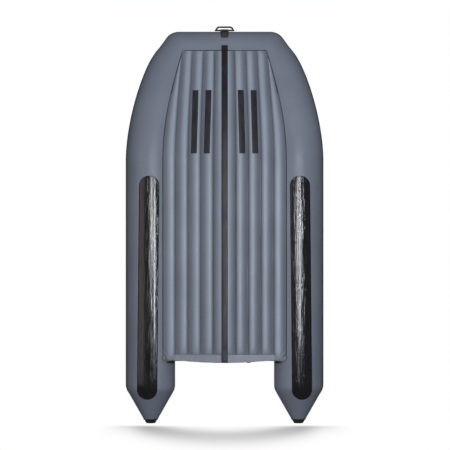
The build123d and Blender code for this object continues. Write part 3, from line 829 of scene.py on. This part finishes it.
def make_patch():
    """The ring's rubber tongue on the bow tube, with a raised rim, and its sleeve."""
    rings = []
    rows, columns = 46, 25
    high, low = math.radians(14), math.radians(-46)
    rounding = 0.022
    for i in range(rows + 1):
        t = i / rows
        turn = lerp(high, low, t)
        run = (1 - t) * (high - low) * TUBE_R
        short = max(0.0, rounding - run) / rounding
        wide = PATCH_HALF * (1 - 0.20 * t) * math.sqrt(max(0.02, 1 - short**2 * 0.75))
        line = []
        for c in range(columns):
            u = lerp(-1, 1, c / (columns - 1))
            rim = smooth(0.70, 0.80, abs(u)) * (1 - smooth(0.93, 1.0, abs(u)))
            rim = max(rim, smooth(0.015, 0.010, run) * smooth(0.0, 0.004, run))
            r = TUBE_R + 0.0014 + 0.0014 * rim - 0.0012 * smooth(0.90, 1.0, abs(u))
            line.append(on_bow(u * wide, turn, r))
        rings.append(line + [on_bow(p.x, turn, TUBE_R - 0.001) for p in reversed(line)])
    tongue = loft("tongue", rings)
    bar = [Vector((lerp(-SLEEVE_HALF, SLEEVE_HALF, i / 6), RING_Y, RING_Z)) for i in range(7)]
    sleeve = pipe("sleeve", bar, SLEEVE_R, 28)
    obj = join("bow_ring_patch", [tongue, sleeve])
    shade_sharp(obj, 40)
    for polygon in obj.data.polygons:
        inside = abs(polygon.center.x) < PATCH_HALF * 0.58 and polygon.center.z < RING_Z - 0.016
        polygon.material_index = 1 if inside else 0
    return obj


# ---------------------------------------------------------------- materials
def shader(name, base, roughness, coat=0.0, coat_roughness=0.1, metallic=0.0):
    """A new material with its tree, its surface node and its object coordinates."""
    material = bpy.data.materials.new(name)
    material.use_nodes = True
    tree = material.node_tree
    tree.nodes.clear()
    out = tree.nodes.new("ShaderNodeOutputMaterial")
    bsdf = tree.nodes.new("ShaderNodeBsdfPrincipled")
    tree.links.new(bsdf.outputs[0], out.inputs[0])
    bsdf.inputs["Base Color"].default_value = (*base, 1)
    bsdf.inputs["Roughness"].default_value = roughness
    bsdf.inputs["Metallic"].default_value = metallic
    bsdf.inputs["Specular IOR Level"].default_value = 0.5
    bsdf.inputs["Coat Weight"].default_value = coat
    bsdf.inputs["Coat Roughness"].default_value = coat_roughness
    coords = tree.nodes.new("ShaderNodeTexCoord")
    return material, tree, bsdf, coords.outputs["Object"]


def add_noise(tree, vector, scale, detail=3.0, stretch=None, distortion=0.0):
    node = tree.nodes.new("ShaderNodeTexNoise")
    node.inputs["Scale"].default_value = scale
    node.inputs["Detail"].default_value = detail
    node.inputs["Distortion"].default_value = distortion
    if stretch:
        mapping = tree.nodes.new("ShaderNodeMapping")
        mapping.inputs["Scale"].default_value = stretch
        tree.links.new(vector, mapping.inputs["Vector"])
        vector = mapping.outputs["Vector"]
    tree.links.new(vector, node.inputs["Vector"])
    return node.outputs["Fac"]


def ramp(tree, value, low, high, start=0.3, stop=0.7):
    node = tree.nodes.new("ShaderNodeValToRGB")
    node.color_ramp.elements[0].position = start
    node.color_ramp.elements[1].position = stop
    node.color_ramp.elements[0].color = (*low, 1)
    node.color_ramp.elements[1].color = (*high, 1)
    tree.links.new(value, node.inputs["Fac"])
    return node.outputs["Color"]


def level(tree, value, low, high, start=0.3, stop=0.7):
    node = tree.nodes.new("ShaderNodeMapRange")
    node.inputs["From Min"].default_value = start
    node.inputs["From Max"].default_value = stop
    node.inputs["To Min"].default_value = low
    node.inputs["To Max"].default_value = high
    tree.links.new(value, node.inputs["Value"])
    return node.outputs["Result"]


def add_bumps(tree, bsdf, layers):
    """layers is (height output, strength, distance) from the coarsest to the finest."""
    normal = None
    for height, strength, distance in layers:
        bump = tree.nodes.new("ShaderNodeBump")
        bump.inputs["Strength"].default_value = strength
        bump.inputs["Distance"].default_value = distance
        tree.links.new(height, bump.inputs["Height"])
        if normal is not None:
            tree.links.new(normal, bump.inputs["Normal"])
        normal = bump.outputs["Normal"]
    tree.links.new(normal, bsdf.inputs["Normal"])


def scaled(colour, factor):
    return tuple(min(1.0, c * factor) for c in colour)


def weave(tree, vector, scale):
    """Height of a fine plain weave."""
    waves = []
    for direction in ("X", "Y", "Z"):
        node = tree.nodes.new("ShaderNodeTexWave")
        node.wave_type = "BANDS"
        node.bands_direction = direction
        node.inputs["Scale"].default_value = scale
        node.inputs["Distortion"].default_value = 0.6
        tree.links.new(vector, node.inputs["Vector"])
        waves.append(node.outputs["Fac"])
    total = waves[0]
    for wave in waves[1:]:
        add = tree.nodes.new("ShaderNodeMath")
        add.operation = "ADD"
        tree.links.new(total, add.inputs[0])
        tree.links.new(wave, add.inputs[1])
        total = add.outputs[0]
    return total


def fabric(name, colour, roughness=0.42, shade_valleys=False):
    """Coated cloth. One with painted valley shade is darker where the mesh attribute that holds that shade
    is low.
    """
    material, tree, bsdf, vector = shader(name, colour, roughness, coat=0.12, coat_roughness=0.35)
    mottle = add_noise(tree, vector, 3.0, 4.0)
    tint = ramp(tree, mottle, scaled(colour, 0.93), scaled(colour, 1.06))
    if shade_valleys:
        # painted valley shade from the floor mesh scales the base colour
        painted_valley_shade = tree.nodes.new("ShaderNodeAttribute")
        painted_valley_shade.attribute_name = "painted_valley_shade"
        dim = tree.nodes.new("ShaderNodeVectorMath")
        dim.operation = "SCALE"
        tree.links.new(tint, dim.inputs[0])
        tree.links.new(painted_valley_shade.outputs["Fac"], dim.inputs["Scale"])
        tint = dim.outputs[0]
    tree.links.new(tint, bsdf.inputs["Base Color"])
    smear = add_noise(tree, vector, 14.0, 5.0)
    tree.links.new(level(tree, smear, roughness - 0.05, roughness + 0.08), bsdf.inputs["Roughness"])
    slack = add_noise(tree, vector, 6.0, 2.0)
    add_bumps(tree, bsdf, [(slack, 0.35, 0.006), (weave(tree, vector, 320), 0.05, 0.0003)])
    return material


def rubber(name, colour, roughness, streaks=0.0, coat=0.0, lines=(16.0, 0.16)):
    """Scuffed rubber. lines is the scale of its waves and how far they are drawn out lengthways."""
    material, tree, bsdf, vector = shader(name, colour, roughness, coat=coat, coat_roughness=0.08)
    scuff = add_noise(tree, vector, 30.0, 5.0, (1, 0.25, 1))
    tree.links.new(ramp(tree, scuff, scaled(colour, 0.85), scaled(colour, 1.5)), bsdf.inputs["Base Color"])
    tree.links.new(level(tree, scuff, roughness * 0.85, roughness * 1.2), bsdf.inputs["Roughness"])
    long_waves = add_noise(tree, vector, lines[0], 3.0, (1, lines[1], 1))
    grain = add_noise(tree, vector, 900.0, 2.0)
    add_bumps(tree, bsdf, [(long_waves, streaks, 0.006), (grain, 0.06, 0.0003)])
    return material


def plywood(name, colour, roughness):
    material, tree, bsdf, vector = shader(name, colour, roughness, coat=0.35, coat_roughness=0.2)
    grain = add_noise(tree, vector, 3.0, 7.0, (2.0, 14.0, 26.0), distortion=1.2)
    tree.links.new(ramp(tree, grain, scaled(colour, 0.62), scaled(colour, 1.25)), bsdf.inputs["Base Color"])
    tree.links.new(level(tree, grain, roughness - 0.06, roughness + 0.1), bsdf.inputs["Roughness"])
    add_bumps(tree, bsdf, [(grain, 0.15, 0.0008)])
    return material


def moulded(name, colour, roughness, metallic=0.0):
    material, tree, bsdf, vector = shader(name, colour, roughness, metallic=metallic)
    dust = add_noise(tree, vector, 45.0, 5.0)
    tree.links.new(ramp(tree, dust, scaled(colour, 0.85), scaled(colour, 1.2)), bsdf.inputs["Base Color"])
    tree.links.new(level(tree, dust, roughness - 0.06, roughness + 0.08), bsdf.inputs["Roughness"])
    add_bumps(tree, bsdf, [(add_noise(tree, vector, 1400.0, 2.0), 0.08, 0.0003)])
    return material


TUBE_GREY = (0.152, 0.175, 0.222)
FLOOR_GREY = (0.170, 0.196, 0.244)
TUBE_CLOTH = fabric("tube_cloth", TUBE_GREY)
# the floor cloth takes painted shade in its valleys
FLOOR_CLOTH = fabric("floor_cloth", scaled(FLOOR_GREY, 1.36), shade_valleys=True)
FLAP_CLOTH = fabric("flap_cloth", FLOOR_GREY)
# near-black cloth: painted shade in the groove along the floor seam
SEAM_SHADE_CLOTH = fabric("seam_shadow", scaled(TUBE_GREY, 0.16), 0.6)
WEAR_RUBBER = rubber("wear_rubber", (0.0075, 0.007, 0.009), 0.06, streaks=0.52, coat=0.3, lines=(85.0, 0.06))
KEEL_RUBBER = rubber("keel_rubber", (0.012, 0.012, 0.014), 0.46, streaks=0.02)
BAR_RUBBER = rubber("bar_rubber", (0.018, 0.019, 0.023), 0.45, streaks=0.05)
TRIM_RUBBER = rubber("trim_rubber", (0.014, 0.014, 0.016), 0.42)
PATCH_RUBBER = rubber("patch_rubber", (0.045, 0.046, 0.052), 0.5)
STRIPE_RUBBER = rubber("strake_stripe", (0.19, 0.20, 0.21), 0.42)
RING_METAL = moulded("ring_metal", (0.008, 0.008, 0.009), 0.38)
DARK_PLY = plywood("painted_ply", (0.060, 0.064, 0.072), 0.36)
BENCH_PLY = plywood("varnished_ply", (0.46, 0.29, 0.14), 0.30)
GREY_PLASTIC = moulded("grey_plastic", (0.045, 0.047, 0.052), 0.42)
BLACK_PLASTIC = moulded("black_plastic", (0.016, 0.016, 0.018), 0.45)
VALVE_PLASTIC = moulded("valve_plastic", (0.028, 0.029, 0.032), 0.36)
ALUMINIUM = moulded("aluminium", (0.60, 0.61, 0.63), 0.30, 1.0)


def paint(obj, *materials):
    """Gives obj these materials and keeps which face takes which."""
    chosen = [polygon.material_index for polygon in obj.data.polygons]
    obj.data.materials.clear()
    for material in materials:
        obj.data.materials.append(material)
    for polygon, index in zip(obj.data.polygons, chosen):
        polygon.material_index = min(index, len(materials) - 1)
    return obj


def place(obj, body, slot, *covered):
    """Rides a piece on its body and hides the CAD nodes it stands for; slot is not used."""
    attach(obj, body)
    if covered:
        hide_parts(*covered)
    return obj


def both_sides(obj, slot, node):
    """Places a port piece of the hull, whose name ends in port, and its starboard copy."""
    copy = mirrored(obj, obj.name.replace("port", "starboard"))
    place(obj, "hull", slot, f"{node}_port")
    place(copy, "hull", slot, f"{node}_starboard")


# ---------------------------------------------------------------- build the hull
def build_tubes():
    corner_side, corner_front = corner_rings()
    quarter = quarter_rings()[:-1] + corner_side
    tubes = (
        ("side_tube", "side_tube", straight_rings(), Vector((TUBE_X, 0, TUBE_Z))),
        ("stern_cone", "stern_cone", cone_rings(), Vector((TUBE_X, CONE_Y + 0.1, TUBE_Z))),
        ("bow_quarter", "bow_quarter_tube", quarter, bezier(*QUARTER_POINTS, 0.5)[0]),
    )
    for label, node, rings, inside in tubes:
        skin = face_outward(open_loft(f"{label}_skin_port", rings), inside)
        both_sides(paint(skin, TUBE_CLOTH), "tube_fabric", node)
    other = [[Vector((-p.x, p.y, p.z)) for p in r] for r in reversed(corner_front[:-1])]
    front = open_loft("bow_tube_skin", corner_front + other)
    face_outward(front, Vector((0, CORNER.y, CORNER.z)))
    place(paint(front, TUBE_CLOTH), "hull", "tube_fabric", "bow_tube")


build_tubes()
chamber_nodes = [f"floor_chamber_{side}_{k}" for side in ("port", "starboard") for k in (1, 2, 3, 4)]
place(paint(make_floor(), FLOOR_CLOTH, SEAM_SHADE_CLOTH), "hull", "floor_fabric", "keel_chamber", *chamber_nodes)
place(paint(make_flap(), FLAP_CLOTH), "hull", "floor_fabric", "floor_stern_flap")
place(paint(make_keel_strip(), KEEL_RUBBER), "hull", "black_rubber", "keel_strip")
both_sides(paint(make_wear_strip(), WEAR_RUBBER), "black_rubber", "wear_strip")
for bar_label in BAR_X:
    both_sides(paint(make_skid_bar(bar_label), BAR_RUBBER), "black_rubber", f"skid_bar_{bar_label}")
both_sides(paint(make_strake(), TRIM_RUBBER, STRIPE_RUBBER), "black_rubber", "rubbing_strake")
both_sides(paint(make_cone_cap(), TRIM_RUBBER), "black_rubber", "cone_cap")
place(paint(make_bow_ring(), RING_METAL), "bow_ring", "ring_metal", "bow_ring")
place(paint(make_patch(), TRIM_RUBBER, PATCH_RUBBER), "hull", "black_rubber", "bow_ring_holder")

# ---------------------------------------------------------------- hard parts keep their CAD solids
CAD_FINISH = {
    "transom_board": DARK_PLY,
    "bench_board": BENCH_PLY,
    "bench_hooks": ALUMINIUM,
    "motor_pad": BLACK_PLASTIC,
    "drain": BLACK_PLASTIC,
    "transom_holder": TRIM_RUBBER,
    "bench_rail": TRIM_RUBBER,
    "rowlock_base": TRIM_RUBBER,
    "bow_carry": TRIM_RUBBER,
    "rowlock": GREY_PLASTIC,
    "air_baffle": TUBE_CLOTH,
}


def finish_cad(obj, name):
    for start, material in CAD_FINISH.items():
        if name.startswith(start):
            paint(obj, material)
            return
    if "valve" in name:
        paint(obj, VALVE_PLASTIC)


for node_name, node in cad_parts.items():
    finish_cad(node, node_name)


# ---------------------------------------------------------------- stage, light and camera
def one_sided(name, front_of):
    """Material of a card that shows from its front only; front_of(tree) gives the front's shader output."""
    material = bpy.data.materials.new(name)
    material.use_nodes = True
    tree = material.node_tree
    tree.nodes.clear()
    out = tree.nodes.new("ShaderNodeOutputMaterial")
    mix = tree.nodes.new("ShaderNodeMixShader")
    clear = tree.nodes.new("ShaderNodeBsdfTransparent")
    side = tree.nodes.new("ShaderNodeNewGeometry")
    tree.links.new(side.outputs["Backfacing"], mix.inputs[0])
    tree.links.new(front_of(tree), mix.inputs[1])
    tree.links.new(clear.outputs[0], mix.inputs[2])
    tree.links.new(mix.outputs[0], out.inputs[0])
    return material


def even_front(tree):
    """Matt white, lit from within as well so that it stays pale far away."""
    matt = tree.nodes.new("ShaderNodeBsdfDiffuse")
    matt.inputs["Color"].default_value = (0.28, 0.28, 0.28, 1)
    glow = tree.nodes.new("ShaderNodeEmission")
    glow.inputs["Strength"].default_value = 0.84
    total = tree.nodes.new("ShaderNodeAddShader")
    tree.links.new(matt.outputs[0], total.inputs[0])
    tree.links.new(glow.outputs[0], total.inputs[1])
    return total.outputs[0]


def shaded_front(tree):
    """White, dimmed by the painted shadow."""
    glow = tree.nodes.new("ShaderNodeEmission")
    read = tree.nodes.new("ShaderNodeAttribute")
    read.attribute_name = "shade"
    tree.links.new(read.outputs["Fac"], glow.inputs["Color"])
    return glow.outputs[0]


def camera_only(obj):
    """The camera sees it, but it neither blocks light nor shows in other surfaces."""
    for flag in ("visible_shadow", "visible_diffuse", "visible_glossy", "visible_transmission"):
        setattr(obj, flag, False)


def area_light(name, place_at, aim, size, power, colour=(1, 1, 1), matt=True, gloss=True):
    """A soft box. matt and gloss say whether it lights matt surfaces and shows in glossy ones."""
    data = bpy.data.lights.new(name, "AREA")
    data.shape = "RECTANGLE"
    data.size, data.size_y = size
    data.energy = power
    data.color = colour
    obj = bpy.data.objects.new(name, data)
    bpy.context.scene.collection.objects.link(obj)
    obj.location = place_at
    obj.rotation_euler = (Vector(aim) - Vector(place_at)).to_track_quat("-Z", "Y").to_euler()
    obj.visible_diffuse = matt
    obj.visible_glossy = gloss


def shadow_at(x, ahead):
    """Depth of the soft shadow on the stand: a crescent from one cone tip to the other."""
    side = min(1.6, (x / 0.62) ** 2)
    centre = 1.05 - 0.85 * side
    spread = 0.90 if ahead > centre else 0.60
    fade = (1 - smooth(0.60, 1.08, abs(x))) * smooth(-0.12, 0.22, ahead)
    return lerp(0.38, 0.54, min(1.0, side)) * fade * math.exp(-(((ahead - centre) / spread) ** 2))


def make_stand():
    """Upright white card behind the stern ends, reaching down toward the camera, with the painted shadow."""
    rows, columns = 61, 121
    half, depth, top, rear = 2.2, 3.2, -0.012, TIP_Y + 0.003
    verts = [Vector((lerp(-half, half, c / (columns - 1)), rear, top - depth * r / (rows - 1)))
             for r in range(rows) for c in range(columns)]
    faces = [tuple(reversed(f)) for f in grid_faces(rows, columns)]
    stand = new_object("stand_floor", verts, faces, smooth_faces=False)
    if stand.data.polygons[0].normal.y > 0:
        stand.data.flip_normals()
    shade = stand.data.attributes.new("shade", "FLOAT", "POINT")
    for value, vertex in zip(shade.data, stand.data.vertices):
        value.value = 1.0 - shadow_at(vertex.co.x, -vertex.co.z)
    stand.data.materials.append(one_sided("stand_card", shaded_front))
    camera_only(stand)
    return stand


def make_level_floor():
    """The studio floor that the boat lies on, seen from above only."""
    reach = 70.0
    corners = [(-reach, -reach, 0), (reach, -reach, 0), (reach, reach, 0), (-reach, reach, 0)]
    obj = new_object("studio_floor", corners, [(0, 1, 2, 3)], smooth_faces=False)
    obj.data.materials.append(one_sided("studio_floor_card", even_front))
    camera_only(obj)
    return obj


def build_world():
    """White to the camera, a dim glow to everything else."""
    world = bpy.data.worlds.new("studio")
    world.use_nodes = True
    bpy.context.scene.world = world
    tree = world.node_tree
    tree.nodes.clear()
    out = tree.nodes.new("ShaderNodeOutputWorld")
    mix = tree.nodes.new("ShaderNodeMixShader")
    path = tree.nodes.new("ShaderNodeLightPath")
    seen = tree.nodes.new("ShaderNodeBackground")
    glow = tree.nodes.new("ShaderNodeBackground")
    seen.inputs["Color"].default_value = (1, 1, 1, 1)
    glow.inputs["Color"].default_value = (0.93, 0.96, 1, 1)
    glow.inputs["Strength"].default_value = 0.10
    tree.links.new(path.outputs["Is Camera Ray"], mix.inputs[0])
    tree.links.new(glow.outputs[0], mix.inputs[1])
    tree.links.new(seen.outputs[0], mix.inputs[2])
    tree.links.new(mix.outputs[0], out.inputs[0])


CAMERA_BACK = 22.0
VIEW_WIDTH = 3.7783  # metres across the picture, at the tubes' middle height
SENSOR = 36


def build_camera():
    """Straight below the boat, looking up, with the bow at the top of the picture."""
    data = bpy.data.cameras.new("camera")
    data.sensor_width = SENSOR
    data.lens = CAMERA_BACK / VIEW_WIDTH * SENSOR
    data.clip_end = 60
    obj = bpy.data.objects.new("camera", data)
    bpy.context.scene.collection.objects.link(obj)
    right, up, back = Vector((1, 0, 0)), Vector((0, -1, 0)), Vector((0, 0, -1))
    turn = Matrix((right, up, back)).transposed().to_4x4()
    turn.translation = Vector((0.0034, 0.0095, TUBE_Z - CAMERA_BACK))
    obj.matrix_world = turn
    bpy.context.scene.camera = obj


make_level_floor()
make_stand()
build_world()
area_light("front_soft", (0.1, -0.6, -8.0), (0, 0, 0), (3.0, 3.0), 500, gloss=False)
area_light("right_soft", (5.2, -0.6, -3.6), (0, 0, 0.1), (2.2, 4.0), 22, gloss=False)
area_light("left_soft", (-5.5, 0.3, -4.8), (0, 0, 0.1), (3.0, 4.0), 34, (1.0, 0.90, 0.84))
area_light("bow_soft", (0.4, -6.0, -3.0), (0, 0, 0.2), (2.4, 1.6), 110, gloss=False)
area_light("keel_box", (0.0, -0.1, -7.5), (0, -0.1, 0), (1.0, 1.1), 62, matt=False)
area_light("streak_box", (1.13, 0.38, -4.7), (0.9, 0.38, 0), (1.64, 0.24), 70, (0.88, 0.94, 1.0), matt=False)
area_light("key_above", (1.2, -1.5, 6.5), (0, 0, 0.2), (3.0, 3.0), 420, gloss=False)
area_light("fill_above", (-1.5, 1.5, 6.5), (0, 0, 0.2), (3.5, 3.5), 260, gloss=False)
build_camera()
bpy.context.scene.view_settings.view_transform = "Standard"
